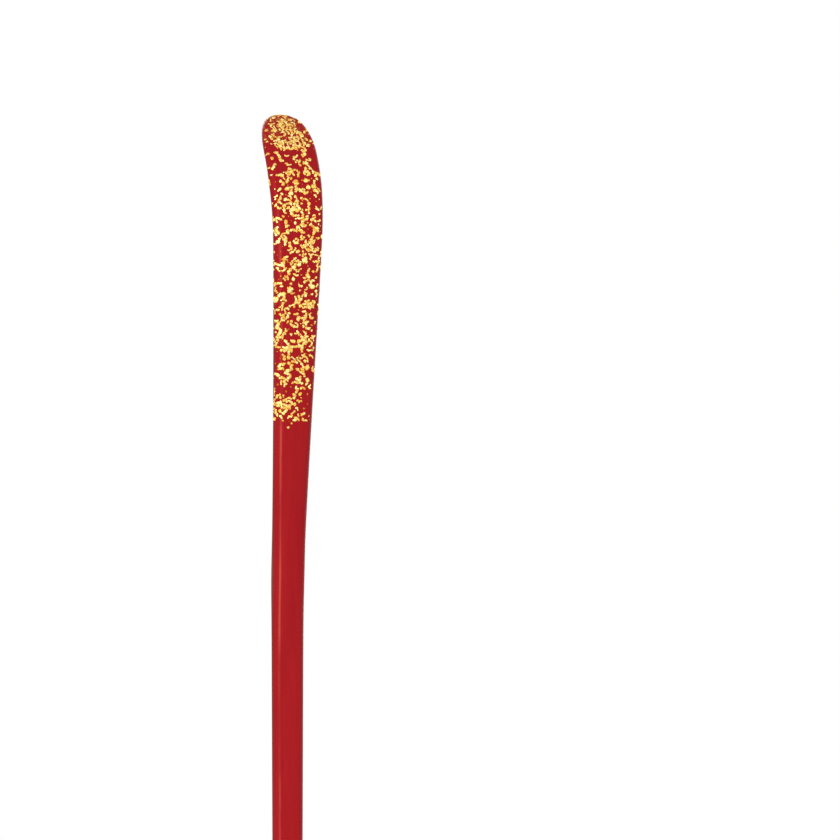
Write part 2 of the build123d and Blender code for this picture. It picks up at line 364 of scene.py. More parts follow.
# %% One scrap of leaf
LEAF_THICK, LEAF_LIFT, LEAF_PILE, CORNERS = 0.03, 0.012, 0.03, 9
deselect()
bpy.ops.mesh.primitive_circle_add(vertices=CORNERS, radius=1, fill_type="NGON")
scrap = bpy.context.object
bpy.ops.object.mode_set(mode="EDIT")
bpy.ops.mesh.select_all(action="SELECT")
bpy.ops.mesh.inset(thickness=0.4)
bpy.ops.mesh.poke()
bpy.ops.object.mode_set(mode="OBJECT")
scrap_points = [v.co.copy() for v in scrap.data.vertices]
scrap_faces = [list(p.vertices) for p in scrap.data.polygons]
bpy.data.objects.remove(scrap)
print("one scrap:", len(scrap_points), "points,", len(scrap_faces), "faces")

# %% [markdown]
# Down the sides a place on the skin is counted by its way round the section, so that the leaf
# wraps over the edge without being stretched. A pared edge is about one and a half times as
# long as it reaches in. In the rounded tip the place is one on the plan, and the edge is pared
# the more the nearer the place is to the outline.

# %% Where the skin is
EDGE_ARC, OVERHANG, RIM_STEPS = 1.45, 0.4 * COATS, 80
RIM = [(math.atan2(along, across), math.hypot(along, across))
       for across, along in (tip_outline(i / RIM_STEPS) for i in range(RIM_STEPS + 1))]


def rim_reach(angle):
    """How far the tip's outline is from the middle of its start, in a direction."""
    for (a0, r0), (a1, r1) in zip(RIM, RIM[1:]):
        if angle <= a1:
            return r0 + (r1 - r0) * (angle - a0) / (a1 - a0)
    return RIM[-1][1]


def on_skin(s, round_back, lift):
    """A place on the lacquer, at s and so far round from the back's middle, or None off it."""
    edge, reach, height = back_rounding(s), thickness(s) / 2, COATS + lift
    if s > TIP_START:
        along, x = s - TIP_START, abs(round_back)
        inset = rim_reach(math.atan2(along, x)) - math.hypot(along, x)
        if inset < -OVERHANG:
            return None
        if inset >= edge:
            return round_back, reach + height + BACK_CROWN * (1 - (x / TIP_WIDTH * 2) ** 2), s
        turn = math.acos(((edge - inset) / (edge + height)) ** (1 / ARRIS_POWER))
        return round_back, reach - pared(turn, edge, height)[1], s
    half = half_width(s)
    flat, arc = half - edge, (edge + COATS) * EDGE_ARC
    away = abs(round_back) - flat
    if away <= 0:
        x, v = abs(round_back), reach + height + BACK_CROWN * (1 - (round_back / flat) ** 2)
    elif away <= arc:
        inset, depth = pared(math.pi / 2 * (1 - away / arc), edge, height)
        x, v = half - inset, reach - depth
    elif away - arc < 2 * reach - edge - front_rounding(s):
        x, v = half + height, reach - edge - (away - arc)
    else:
        return None
    return math.copysign(x, round_back), v, s


# %% [markdown]
# The maker tapped the leaf through a fine sieve: strings of scraps that touch, rounder single
# ones and, between them, thin specks. It lies thickest on the curled tip, thinnest just under
# it, and it stops at a masked straight edge. It reaches over the +X edge, and on the other
# side it mostly keeps to the flat of the back. Each new string starts on the barest of a few
# places tried, so that the scatter is as even as a careful hand leaves it, and it is laid
# stretch by stretch until that stretch has its share of leaf. The leaf is finer near the tip,
# and two stray scraps lie just past the straight edge.

# %% Laying the leaf
LEAF_EDGE, FINE_LEAF = TIP - 63.4, 12
OVER_EDGE, SHORT_OF_EDGE, BOTH_EDGES = 2.0, -0.4, 1.6    # mm of leaf past or short of an edge
SCRAP_AREA, SCRAP_STEP = 2.7, 1.35    # what a scrap of size 1 covers, and the way to its next
STRINGS, LAST_LAID = (1, 1, 1, 1, 2, 3, 4, 5), 500
STRAYS = ((LEAF_EDGE - 0.3, 0.7, 0.2), (LEAF_EDGE - 1.1, 1.35, 0.26))
DRIFTS = [    # where a stretch ends, mm from the tip, its share of leaf, its thick side, how thick
    (5.5, 0.29, 0.0, 1.6), (9.8, 0.54, -0.1, 1.1), (14.5, 0.25, -0.2, 0.4),
    (24.0, 0.42, 0.1, 0.5), (33.0, 0.42, 0.1, 0.2), (41.0, 0.42, 0.0, 0.1),
    (49.0, 0.48, 0.0, 0.2), (57.0, 0.42, 0.2, 0.4), (61.0, 0.39, 0.8, 1.0),
    (63.9, 0.36, 0.9, 1.1),
]


def torn_scrap(dice, s, round_back, size, stretch, turn):
    """The points of one scrap on the skin, or None where it would hang over an edge."""
    rim = [dice.uniform(0.65, 1.25) for _ in range(CORNERS)]
    lift = LEAF_LIFT + dice.uniform(0, LEAF_PILE)
    points = []
    for point in scrap_points:
        reach = rim[round(math.atan2(point.y, point.x) / math.tau * CORNERS) % CORNERS]
        p, q = point.x * size * reach * stretch**0.5, point.y * size * reach / stretch**0.5
        p, q = p * math.cos(turn) - q * math.sin(turn), p * math.sin(turn) + q * math.cos(turn)
        place = on_skin(max(s + p, LEAF_EDGE + 0.15 * rim[0]), round_back + q, lift)
        if place is None:
            return None
        points.append(place)
    return points


def barest(dice, laid, start, end, side, gather, tries=4):
    """The emptiest of a few random places of a stretch, with more of them on its thick side."""
    best, best_room = None, -1
    for _ in range(tries):
        s = TIP - dice.uniform(start, end)
        across = side + (dice.uniform(-1, 1) - side) * dice.random() ** gather
        past = OVER_EDGE if across > 0 or dice.random() < 0.1 else SHORT_OF_EDGE
        round_back = across * (half_width(s) + past)
        recent = laid[-LAST_LAID:]
        room = min((math.hypot(s - s0, round_back - r0) for s0, r0 in recent), default=9)
        if room > best_room:
            best, best_room = (s, round_back), room
    return best


def lay_leaf():
    """Strings of scraps and single specks, until each stretch has its share of leaf."""
    dice, scraps, laid, start = random.Random(7), [], [], 0
    for end, share, side, gather in DRIFTS:
        middle = TIP - (start + end) / 2
        wanted, covered = share * (end - start) * (2 * half_width(middle) + BOTH_EDGES), 0
        while covered < wanted:
            heading, count = dice.uniform(0, math.tau), dice.choice(STRINGS)
            speck = count == 1 and dice.random() < (0.6 if end < FINE_LEAF else 0.4)
            s, round_back = barest(dice, laid, start, end, side, 0 if speck else gather)
            thick = dice.uniform(0.1, 0.18) if speck else dice.uniform(0.2, 0.3 + 0.2 / count)
            thick *= 0.8 if end < FINE_LEAF else 1
            for _ in range(count):
                size = thick * dice.uniform(0.65, 1.3)
                if s < LEAF_EDGE - 0.5 * size:
                    break
                points = torn_scrap(dice, s, round_back, size, dice.uniform(1, 1.6), heading)
                if points:
                    tone = dice.uniform(0, 0.4) if speck else dice.uniform(0.5, 1.1)
                    scraps.append((s, points, tone))
                    laid.append((s, round_back))
                    covered += SCRAP_AREA * size**2
                heading += dice.uniform(-1.3, 1.3)
                s += SCRAP_STEP * size * math.cos(heading)
                round_back += SCRAP_STEP * size * math.sin(heading)
        start = end
    for s, round_back, size in STRAYS:
        points = [on_skin(s + size * p.x, round_back + size * p.y, LEAF_LIFT)
                  for p in scrap_points]
        scraps.append((s, points, 0.6))
    return scraps


def leaf_piece(name, scraps, node):
    """All the scraps of one zone as one piece, each point keeping its straight place and tone."""
    places = [place for _, points, _ in scraps for place in points]
    each = len(scrap_points)
    faces = [[i + n * each for i in face] for n in range(len(scraps)) for face in scrap_faces]
    mesh = bpy.data.meshes.new(name)
    mesh.from_pydata([bent(*place) for place in places], [], faces)
    straight, tone = point_values(mesh, straight="FLOAT_VECTOR", tone="FLOAT")
    for i, place in enumerate(places):
        straight.data[i].vector = Vector(place) * mm
        torn_edge = scrap_points[i % each].length > 0.9
        tone.data[i].value = scraps[i // each][2] * (0.5 if torn_edge else 1)
    piece = bpy.data.objects.new(name, mesh)
    bpy.context.scene.collection.objects.link(piece)
    finish_piece(piece, ("SOLIDIFY", {"thickness": LEAF_THICK * mm, "offset": 0}))
    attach(piece, "root")
    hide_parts(node)
    return piece


scraps = lay_leaf()
zones = {
    "tip": [scrap for scrap in scraps if scrap[0] >= BEND + BEND_LENGTH / 2],
    "hollow": [scrap for scrap in scraps if BEND <= scrap[0] < BEND + BEND_LENGTH / 2],
    "neck": [scrap for scrap in scraps if scrap[0] < BEND],
}
leaf = [leaf_piece(f"gold_{zone}", kept, f"gold_leaf_{zone}") for zone, kept in zones.items()]
print("scraps of leaf:", {zone: len(kept) for zone, kept in zones.items()})

# %% [markdown]
# Materials are built from nodes. Colours are written as sRGB hex, as a designer reads them off
# a screen, and one function turns them into the linear values that the shader needs. One more
# adds a node with its settings, its links and, on a ramp, its stops.

# %% Helpers for the materials


def colour(code):
    channels = [int(code[i:i + 2], 16) / 255 for i in (1, 3, 5)]
    linear = [c / 12.92 if c <= 0.04045 else ((c + 0.055) / 1.055) ** 2.4 for c in channels]
    return (*linear, 1)


def add(tree, kind, inputs=None, stops=None, **settings):
    """A node with its settings, its inputs as values or as sockets to link, and its stops."""
    node = tree.nodes.new("ShaderNode" + kind)
    for key, value in settings.items():
        setattr(node, key, value)
    for name, value in (inputs or {}).items():
        if isinstance(value, bpy.types.NodeSocket):
            tree.links.new(value, node.inputs[name])
        else:
            node.inputs[name].default_value = value
    if stops:
        ramp = node.color_ramp
        for place, _ in stops[1:-1]:
            ramp.elements.new(place)
        for element, (place, value) in zip(ramp.elements, stops):
            element.position = place
            element.color = colour(value) if isinstance(value, str) else (value, value, value, 1)
    return node


def new_material(name):
    made = bpy.data.materials.new(name)
    made.use_nodes = True
    return made, made.node_tree, made.node_tree.nodes["Principled BSDF"]


def dress(piece, made):
    piece.data.materials.clear()
    piece.data.materials.append(made)
    print(f"{piece.name}: {made.name}, {len(made.node_tree.nodes)} nodes")


# %% [markdown]
# The bamboo is a split of madake, smoke-darkened and heated, so its colour changes along the
# slip: deep orange-brown, mottled red and ochre, on the tip that was held over the fire, a
# pale groove between tan flanks, its pale pinkish middle partly the skin's own colour and
# partly painted sheen, a tan band above the node's dark scar, and a pale handle that darkens
# towards the hand's end. All that follows the fibres, so the patterns read the straight place
# that each point had before bending. How smoked a place is comes first, as a share from 0 to
# 1, from its distance along the slip, and a ramp then gives that share its colour. Over a
# stretch above the node the groove's middle is moved a little towards the right flank, which
# is painted lighter there, partly its own paler tone and partly painted light falling on it,
# so a place's distance out from the groove is counted from there.

# %% Smoked bamboo: where a place is on the slip


def at(below_tip):
    """The share of the slip's length that lies so many mm below the top of the tip."""
    low, high = 0, TIP
    while high - low > 0.01:
        half_way = (low + high) / 2
        if spine(half_way)[1] < LENGTH - below_tip:
            low = half_way
        else:
            high = half_way
    return low / TIP


bamboo_skin, tree, shader = new_material("smoked_bamboo")
straight = add(tree, "Attribute", attribute_name="straight")
place = add(tree, "SeparateXYZ", {0: straight.outputs["Vector"]})
column = add(tree, "Attribute", attribute_name="across").outputs["Fac"]
share = add(tree, "Math", {0: place.outputs["Z"], 1: TIP * mm}, operation="DIVIDE").outputs[0]
# The stretch above the node where the right flank is painted lighter, partly as light falling on
# it.
paler = add(tree, "ValToRGB", {"Fac": share}, stops=[
    (0, 0.0), (at(86), 0.0), (at(70), 1.0), (at(46), 1.0), (at(36), 0.0), (1, 0.0)]).outputs[0]
aside = add(tree, "Math", {0: paler, 1: -0.1, 2: column}, operation="MULTIPLY_ADD").outputs[0]
out = add(tree, "Math", {0: aside}, operation="ABSOLUTE").outputs[0]

# %% [markdown]
# Bamboo's fibres run the whole length of the slip. One noise, drawn out along them, gives the
# fine grain about a third of a millimetre wide, and another gives broader streaks.

# %% Smoked bamboo: fibres
FIBRE, FIBRE_RUN = 0.35 * mm, 26 * mm
STREAK, STREAK_RUN = 1.3 * mm, 9 * mm
fibre_map = add(tree, "Mapping", {"Vector": straight.outputs["Vector"],
                                  "Scale": (1 / FIBRE, 1 / FIBRE, 1 / FIBRE_RUN)})
fibres = add(tree, "TexNoise", {"Vector": fibre_map.outputs[0], "Scale": 1.0, "Detail": 3.0,
                                "Roughness": 0.6})
streak_map = add(tree, "Mapping", {"Vector": straight.outputs["Vector"],
                                   "Scale": (1 / STREAK, 1 / STREAK, 1 / STREAK_RUN)})
streaks = add(tree, "TexNoise", {"Vector": streak_map.outputs[0], "Scale": 1.0, "Detail": 2.0})

# %% [markdown]
# The smoke is set twice by the distance below the tip: down the groove, and down the flanks
# beside it. The two are blended across the slip and made uneven by the grain. Over one
# stretch the right flank is lightened, partly its own paler tone and partly painted light
# falling on that flank.

# %% Smoked bamboo: how smoked each place is
# Lower shares of smoke in the groove keep its middle pale, partly as painted sheen.
in_groove = add(tree, "ValToRGB", {"Fac": share}, stops=[
    (0, 0.85), (at(164), 0.72), (at(152), 0.6), (at(138), 0.45), (at(124), 0.3), (at(110), 0.12),
    (at(100), 0.0), (at(95), 0.2), (at(92.2), 0.5), (at(91.8), 0.6), (at(87.4), 0.64),
    (at(84), 0.52), (at(75), 0.34), (at(66), 0.1), (at(57), 0.0), (at(48), 0.04), (at(41), 0.06),
    (at(34), 0.18), (at(26), 0.3), (at(22.8), 0.62), (at(20), 0.9), (at(17), 1.0), (1, 1.0)])
beside = add(tree, "ValToRGB", {"Fac": share}, stops=[
    (0, 0.9), (at(164), 0.8), (at(152), 0.7), (at(138), 0.52), (at(124), 0.46), (at(110), 0.2),
    (at(100), 0.1), (at(95), 0.3), (at(92), 0.6), (at(85.8), 0.62), (at(84), 0.64), (at(75), 0.52),
    (at(66), 0.5), (at(57), 0.46), (at(46), 0.5), (at(36), 0.64), (at(31), 0.72), (at(26), 0.86),
    (at(22.8), 0.94), (at(20), 1.0), (1, 1.0)])
flank = add(tree, "MapRange", {"Value": out, "From Min": 0.36, "From Max": 0.78},
            interpolation_type="SMOOTHSTEP").outputs[0]
smoke = add(tree, "Mix", {0: flank, 2: in_groove.outputs[0], 3: beside.outputs[0]})
uneven = add(tree, "MapRange", {"Value": fibres.outputs[0], "From Min": 0.3, "From Max": 0.7,
                                "To Min": -0.09, "To Max": 0.09}).outputs[0]
smoke = add(tree, "Math", {0: smoke.outputs[0], 1: uneven}).outputs[0]
# Painted light: the right flank is lightened here, partly also its own paler tone.
right_flank_lit_and_pale = add(tree, "MapRange", {"Value": column, "From Min": 0.25, "From Max": 0.8,
                                    "To Max": -0.2}).outputs[0]
smoke = add(tree, "Math", {0: right_flank_lit_and_pale, 1: paler, 2: smoke}, operation="MULTIPLY_ADD").outputs[0]

# %% [markdown]
# Groove, flanks and handle each turn their share of smoke into colour by a ramp of their own.
# Then come ochre mottling and red scorched streaks, both strongest where the smoke is deepest.
# The handle has no scorched ones.

# %% Smoked bamboo: colour
# The groove's ramp is paler and pinker: partly the skin's own colour, partly painted sheen.
groove_skin_and_sheen = add(tree, "ValToRGB", {"Fac": smoke}, stops=[
    (0.0, "#DCA276"), (0.1, "#D8A078"), (0.2, "#D0A287"), (0.34, "#C28E6C"), (0.5, "#AC7B5C"),
    (0.62, "#B8714A"), (0.8, "#A45C30"), (1.0, "#9C4915")])
flank_skin = add(tree, "ValToRGB", {"Fac": smoke}, stops=[
    (0.0, "#E0B07E"), (0.3, "#D0996A"), (0.46, "#C8865A"), (0.6, "#B8704A"), (0.75, "#AA6238"),
    (1.0, "#A14D13")])
handle_middle = add(tree, "ValToRGB", {"Fac": smoke}, stops=[
    (0.0, "#DFB69A"), (0.3, "#CEA78C"), (0.6, "#C29D82"), (1.0, "#B48E78")])
handle_flank = add(tree, "ValToRGB", {"Fac": smoke}, stops=[
    (0.0, "#DFAC86"), (0.3, "#D09D7C"), (0.6, "#BE9074"), (1.0, "#AC7E63")])
skin = add(tree, "Mix", {0: flank, 6: groove_skin_and_sheen.outputs[0], 7: flank_skin.outputs[0]},
           data_type="RGBA").outputs[2]
handle = add(tree, "MapRange", {"Value": place.outputs["Z"], "From Min": (NODE - 3) * mm,
                                "From Max": (NODE - 9) * mm}).outputs[0]
handle_skin = add(tree, "Mix", {0: flank, 6: handle_middle.outputs[0],
                                7: handle_flank.outputs[0]}, data_type="RGBA").outputs[2]
skin = add(tree, "Mix", {0: handle, 6: skin, 7: handle_skin}, data_type="RGBA").outputs[2]
reddish = add(tree, "MapRange", {"Value": streaks.outputs[0], "From Min": 0.5, "From Max": 0.68,
                                 "To Max": 0.5}).outputs[0]
scorched = add(tree, "Math", {0: reddish, 1: smoke}, operation="MULTIPLY").outputs[0]
scorched = add(tree, "Mix", {0: handle, 2: scorched, 3: 0.0}).outputs[0]
MOTTLE, MOTTLE_RUN = 1.6 * mm, 4 * mm
mottle_map = add(tree, "Mapping", {"Vector": straight.outputs["Vector"],
                                   "Scale": (1 / MOTTLE, 1 / MOTTLE, 1 / MOTTLE_RUN)})
mottle = add(tree, "TexNoise", {"Vector": mottle_map.outputs[0], "Scale": 1.0, "Detail": 3.0})
ochre = add(tree, "MapRange", {"Value": mottle.outputs[0], "From Min": 0.5, "From Max": 0.66,
                               "To Max": 0.55}).outputs[0]
ochre = add(tree, "Math", {0: ochre, 1: smoke}, operation="MULTIPLY").outputs[0]
skin = add(tree, "Mix", {0: ochre, 6: skin, 7: colour("#A9692B")}, data_type="RGBA").outputs[2]
skin = add(tree, "Mix", {0: scorched, 6: skin, 7: colour("#8F3A22")}, data_type="RGBA").outputs[2]

# %% [markdown]
# At the node the culm's sheath left a fine raised scar, which took the smoke darkly, right
# across. The stains are the slip's own marks: soft pale, amber and orange ones beside the
# groove, an orange band and tongue just below the scar and a small brown one on the left. The
# rounded front edges are painted darker, as shade where they turn away from the light, the
# left one more than the right, where the slip's own tone is darker too, and less on the handle.

# %% Smoked bamboo: scar, stains and edges


def spot(x, below_tip, wide, long, most=1.0):
    """The most in the middle of an oval stain and 0 outside it, drawn out along the fibres."""
    centre = (x * mm, 0, at(below_tip) * TIP * mm)
    size = (1 / (wide * mm), 0, 1 / (long * mm))
    moved = add(tree, "VectorMath", {0: straight.outputs["Vector"], 1: centre},
                operation="SUBTRACT")
    scaled = add(tree, "VectorMath", {0: moved.outputs[0], 1: size}, operation="MULTIPLY")
    length = add(tree, "VectorMath", {0: scaled.outputs[0]}, operation="LENGTH")
    return add(tree, "MapRange", {"Value": length.outputs["Value"], "From Min": 1.0,
                                  "From Max": 0.2, "To Max": most},
               interpolation_type="SMOOTHSTEP").outputs[0]


around = add(tree, "Attribute", attribute_name="around").outputs["Fac"]
# Painted shade on the rounded front edges: the side strips, and more of the edge above the node.
at_side = add(tree, "MapRange", {"Value": around, "From Min": -0.6, "From Max": -0.1,
                                 "To Max": 0.35}).outputs[0]
above = add(tree, "MapRange", {"Value": place.outputs["Z"], "From Min": NODE * mm,
                               "From Max": (NODE + 30) * mm, "To Max": 0.5}).outputs[0]
painted_edge_shading = add(tree, "Math", {0: at_side, 1: above}, operation="MAXIMUM").outputs[0]
left = add(tree, "MapRange", {"Value": column, "From Min": -0.93, "From Max": -1.0,
                              "To Max": 0.8}).outputs[0]
right = add(tree, "MapRange", {"Value": column, "From Min": 0.9, "From Max": 1.0,
                               "To Max": 0.4}).outputs[0]
left_edge_shade_and_tone = add(tree, "Math", {0: left, 1: painted_edge_shading}, operation="MULTIPLY").outputs[0]
right_edge_shade = add(tree, "Math", {0: right, 1: painted_edge_shading}, operation="MULTIPLY").outputs[0]
wave = add(tree, "MapRange", {"Value": streaks.outputs[0], "To Min": -0.5 * mm,
                              "To Max": 0.5 * mm})
level = add(tree, "Math", {0: place.outputs["Z"], 1: wave.outputs[0]}).outputs[0]
above_scar = add(tree, "Math", {0: level, 1: NODE * mm}, operation="SUBTRACT").outputs[0]
from_scar = add(tree, "Math", {0: above_scar}, operation="ABSOLUTE").outputs[0]
scar = add(tree, "MapRange", {"Value": from_scar, "From Min": 1.1 * mm, "From Max": 0.5 * mm},
           interpolation_type="SMOOTHSTEP").outputs[0]
for mask, code in (
    # Painted shade on the front edges; the left one is also darker in its own tone.
    (left_edge_shade_and_tone, "#9A6254"),
    (right_edge_shade, "#AE7544"),
    (spot(1.1, 55, 1.7, 15, 0.5), "#EABF90"),
    (spot(-0.8, 53, 1.5, 14, 0.4), "#CE946E"),
    (spot(3.9, 58, 1.9, 19, 0.9), "#E2AC62"),
    (spot(-2.9, 45, 1.3, 12, 0.5), "#C67E52"),
    (spot(0, 92.8, 6, 2.6), "#CB8248"),
    (spot(1.1, 95.2, 1.1, 3.4), "#C8764A"),
    (spot(-3.3, 56.8, 0.6, 2.4), "#7E4C44"),
    (scar, "#90351F"),
):
    skin = add(tree, "Mix", {0: mask, 6: skin, 7: colour(code)}, data_type="RGBA").outputs[2]

# %% [markdown]
# The cut end shows the bundles of fibre as dark dots. The surface of the slip is rubbed bare
# and satin, and its fibres stand a few hundredths of a millimetre proud.

# %% Smoked bamboo: cut end and surface
cells = add(tree, "TexVoronoi", {"Vector": straight.outputs["Vector"], "Scale": 1 / (0.42 * mm)})
bundle = add(tree, "MapRange", {"Value": cells.outputs["Distance"], "From Min": 0.36,
                                "From Max": 0.22}).outputs[0]
end_grain = add(tree, "Mix", {0: bundle, 6: colour("#D9B48C"), 7: colour("#7A4A2C")},
                data_type="RGBA")
facing = add(tree, "SeparateXYZ", {0: add(tree, "TexCoord").outputs["Normal"]})
is_end = add(tree, "MapRange", {"Value": facing.outputs["Z"], "From Min": -0.9,
                                "From Max": -0.97})
skin = add(tree, "Mix", {0: is_end.outputs[0], 6: skin, 7: end_grain.outputs[2]},
           data_type="RGBA").outputs[2]
tree.links.new(skin, shader.inputs["Base Color"])
satin = add(tree, "MapRange", {"Value": fibres.outputs[0], "From Min": 0.3, "From Max": 0.7,
                               "To Min": 0.36, "To Max": 0.5})
tree.links.new(satin.outputs[0], shader.inputs["Roughness"])
proud = add(tree, "Bump", {"Height": fibres.outputs[0], "Strength": 0.25, "Distance": 0.03 * mm})
tree.links.new(proud.outputs[0], shader.inputs["Normal"])
shader.inputs["Specular IOR Level"].default_value = 0.16
dress(bamboo, bamboo_skin)

# %% [markdown]
# The ground coat is raw urushi lacquer, nearly black with a red cast. It shows as a dark line
# between the bamboo and the colour round the tip. From there down it is rubbed ever thinner
# and browner, and most on the +X side.

# %% Raw urushi
ground_lacquer, tree, shader = new_material("raw_urushi")
lacquer_place = add(tree, "TexCoord").outputs["Object"]
cloud = add(tree, "TexNoise", {"Vector": lacquer_place, "Scale": 1 / (1.5 * mm), "Detail": 3.0})
patchy = add(tree, "MapRange", {"Value": cloud.outputs[0], "From Min": 0.3, "From Max": 0.7,
                                "To Max": 0.3}).outputs[0]
straight = add(tree, "Attribute", attribute_name="straight").outputs["Vector"]
up = add(tree, "SeparateXYZ", {0: straight}).outputs["Z"]
share = add(tree, "Math", {0: up, 1: TIP * mm}, operation="DIVIDE").outputs[0]
thinned = add(tree, "ValToRGB", {"Fac": share}, stops=[
    (0, "#B07A62"), (at(140), "#BC846C"), (at(100), "#C89070"), (at(85), "#B4785C"),
    (at(60), "#AC6C50"), (at(35), "#985840"), (at(15), "#703226"), (1, "#56201A")]).outputs[0]
ground_colour = add(tree, "Mix", {0: patchy, 6: thinned, 7: colour("#4C1B17")}, data_type="RGBA")
across = add(tree, "Attribute", attribute_name="across").outputs["Fac"]
right = add(tree, "MapRange", {"Value": across, "From Min": 0.0, "From Max": 0.5}).outputs[0]
below = add(tree, "MapRange", {"Value": up, "From Min": TIP * mm, "From Max": (TIP - 45) * mm,
                               "To Max": 0.7}).outputs[0]
bared = add(tree, "Math", {0: right, 1: below}, operation="MULTIPLY").outputs[0]
ground_colour = add(tree, "Mix", {0: bared, 6: ground_colour.outputs[2], 7: colour("#DCA478")},
                    data_type="RGBA")
tree.links.new(ground_colour.outputs[2], shader.inputs["Base Color"])
shader.inputs["Roughness"].default_value = 0.4
shader.inputs["Specular IOR Level"].default_value = 0.3
dress(ground, ground_lacquer)

# %% [markdown]
# The vermilion coat over it is urushi with cinnabar, brushed and left to level, so it is
# smooth with long, very low waves. Its sides towards the front edge are painted darker, as
# shade where they turn from the light, in a wider band round the tip, and a fine pale line
# is painted along the back's +X arris, from the bend down, as a highlight.

# %% Vermilion urushi: colour, painted edge shade and painted highlight
red_lacquer, tree, shader = new_material("vermilion_urushi")
straight = add(tree, "Attribute", attribute_name="straight").outputs["Vector"]
BRUSH, BRUSH_RUN = 1.1 * mm, 14 * mm
brush_map = add(tree, "Mapping", {"Vector": straight,
                                  "Scale": (1 / BRUSH, 1 / BRUSH, 1 / BRUSH_RUN)})
brush = add(tree, "TexNoise", {"Vector": brush_map.outputs[0], "Scale": 1.0, "Detail": 3.0})
depth = add(tree, "ValToRGB", {"Fac": brush.outputs[0]},
            stops=[(0.3, "#A61A20"), (0.5, "#AA1C21"), (0.7, "#AE1E22")]).outputs[0]
around = add(tree, "Attribute", attribute_name="around").outputs["Fac"]
up = add(tree, "SeparateXYZ", {0: straight}).outputs["Z"]
# Painted shade: the coat's sides towards the front edge are darkened, in a wider band round the
# tip.
rim = add(tree, "MapRange", {"Value": up, "From Min": (TIP - 12) * mm, "From Max": (TIP - 2) * mm,
                             "To Min": 0.3, "To Max": 0.7}).outputs[0]
side_shade = add(tree, "MapRange", {"Value": around, "From Min": rim, "From Max": 0.02,
                                "To Max": 0.85}).outputs[0]
depth = add(tree, "Mix", {0: side_shade, 6: depth, 7: colour("#803428")}, data_type="RGBA").outputs[2]
across = add(tree, "Attribute", attribute_name="across").outputs["Fac"]
# A painted highlight: a fine pale line along the back's +X arris.
arris = add(tree, "Math", {0: around, 1: across}, operation="MULTIPLY").outputs[0]
painted_edge_shading = add(tree, "ValToRGB", {"Fac": arris}, stops=[
    (0.0, 0.0), (0.7, 0.0), (0.82, 1.0), (0.94, 1.0), (1.0, 0.6)]).outputs[0]
chamfer = add(tree, "MapRange", {"Value": across, "From Min": 0.94, "From Max": 1.0}).outputs[0]
patchy = add(tree, "MapRange", {"Value": brush.outputs[0], "From Min": 0.4, "From Max": 0.66,
                                "To Min": 0.1, "To Max": 0.85}).outputs[0]
below = add(tree, "MapRange", {"Value": up, "From Min": (BEND + 8) * mm, "From Max": BEND * mm})
for limit in (patchy, chamfer, below.outputs[0]):
    painted_edge_shading = add(tree, "Math", {0: painted_edge_shading, 1: limit}, operation="MULTIPLY").outputs[0]
# The pale line's colour is a painted highlight.
depth = add(tree, "Mix", {0: painted_edge_shading, 6: depth, 7: colour("#CA5044")}, data_type="RGBA").outputs[2]

# %% [markdown]
# Towards the tip a powder of leaf, too fine to be pieces, lies on the vermilion between the
# scraps. The surface is semi-gloss and its colour deep, with little white in the reflection.

# %% Vermilion urushi: powder and surface
dust = add(tree, "TexNoise", {"Vector": straight, "Scale": 1 / (0.5 * mm), "Detail": 2.0})
near_tip = add(tree, "MapRange", {"Value": up, "From Min": (TIP - 9) * mm,
                                  "From Max": (TIP - 2) * mm}).outputs[0]
powder = add(tree, "MapRange", {"Value": dust.outputs[0], "From Min": 0.47, "From Max": 0.62,
                                "To Max": 0.6}).outputs[0]
powder = add(tree, "Math", {0: powder, 1: near_tip}, operation="MULTIPLY").outputs[0]
depth = add(tree, "Mix", {0: powder, 6: depth, 7: colour("#D08450")}, data_type="RGBA")
satin = add(tree, "MapRange", {"Value": dust.outputs[0], "From Min": 0.3, "From Max": 0.7,
                               "To Min": 0.22, "To Max": 0.32})
tree.links.new(satin.outputs[0], shader.inputs["Roughness"])
waves = add(tree, "Bump", {"Height": brush.outputs[0], "Strength": 0.15, "Distance": 0.03 * mm})
tree.links.new(waves.outputs[0], shader.inputs["Normal"])
tree.links.new(depth.outputs[2], shader.inputs["Base Color"])
shader.inputs["Specular IOR Level"].default_value = 0.02
shader.inputs["Coat Weight"].default_value = 0.06
shader.inputs["Coat Roughness"].default_value = 0.22
dress(vermilion, red_lacquer)

# %% [markdown]
# The leaf is beaten gold, wrinkled as it was laid. Each scrap has its own tone, since scraps
# lie one, two or three thick: thin ones let the red through and look orange, and so do torn
# edges, while thick ones are pale and bright.

# %% Gold leaf
gold, tree, shader = new_material("gold_leaf")
tone = add(tree, "Attribute", attribute_name="tone").outputs["Fac"]
straight = add(tree, "Attribute", attribute_name="straight").outputs["Vector"]
wrinkles = add(tree, "TexNoise", {"Vector": straight, "Scale": 1 / (0.45 * mm), "Detail": 4.0})
shift = add(tree, "MapRange", {"Value": wrinkles.outputs[0], "From Min": 0.3, "From Max": 0.7,
                               "To Min": -0.26, "To Max": 0.26}).outputs[0]
shade = add(tree, "Math", {0: tone, 1: shift}).outputs[0]
beaten = add(tree, "ValToRGB", {"Fac": shade}, stops=[
    (0.0, "#C06614"), (0.25, "#E09628"), (0.5, "#EEB658"), (0.75, "#F6D672"), (1.0, "#FCF0A4")])
tree.links.new(beaten.outputs[0], shader.inputs["Base Color"])
crumpled = add(tree, "Bump", {"Height": wrinkles.outputs[0], "Strength": 0.5,
                              "Distance": 0.05 * mm})
tree.links.new(crumpled.outputs[0], shader.inputs["Normal"])
shader.inputs["Metallic"].default_value = 1
shader.inputs["Roughness"].default_value = 0.42
for piece in leaf:
    dress(piece, gold)

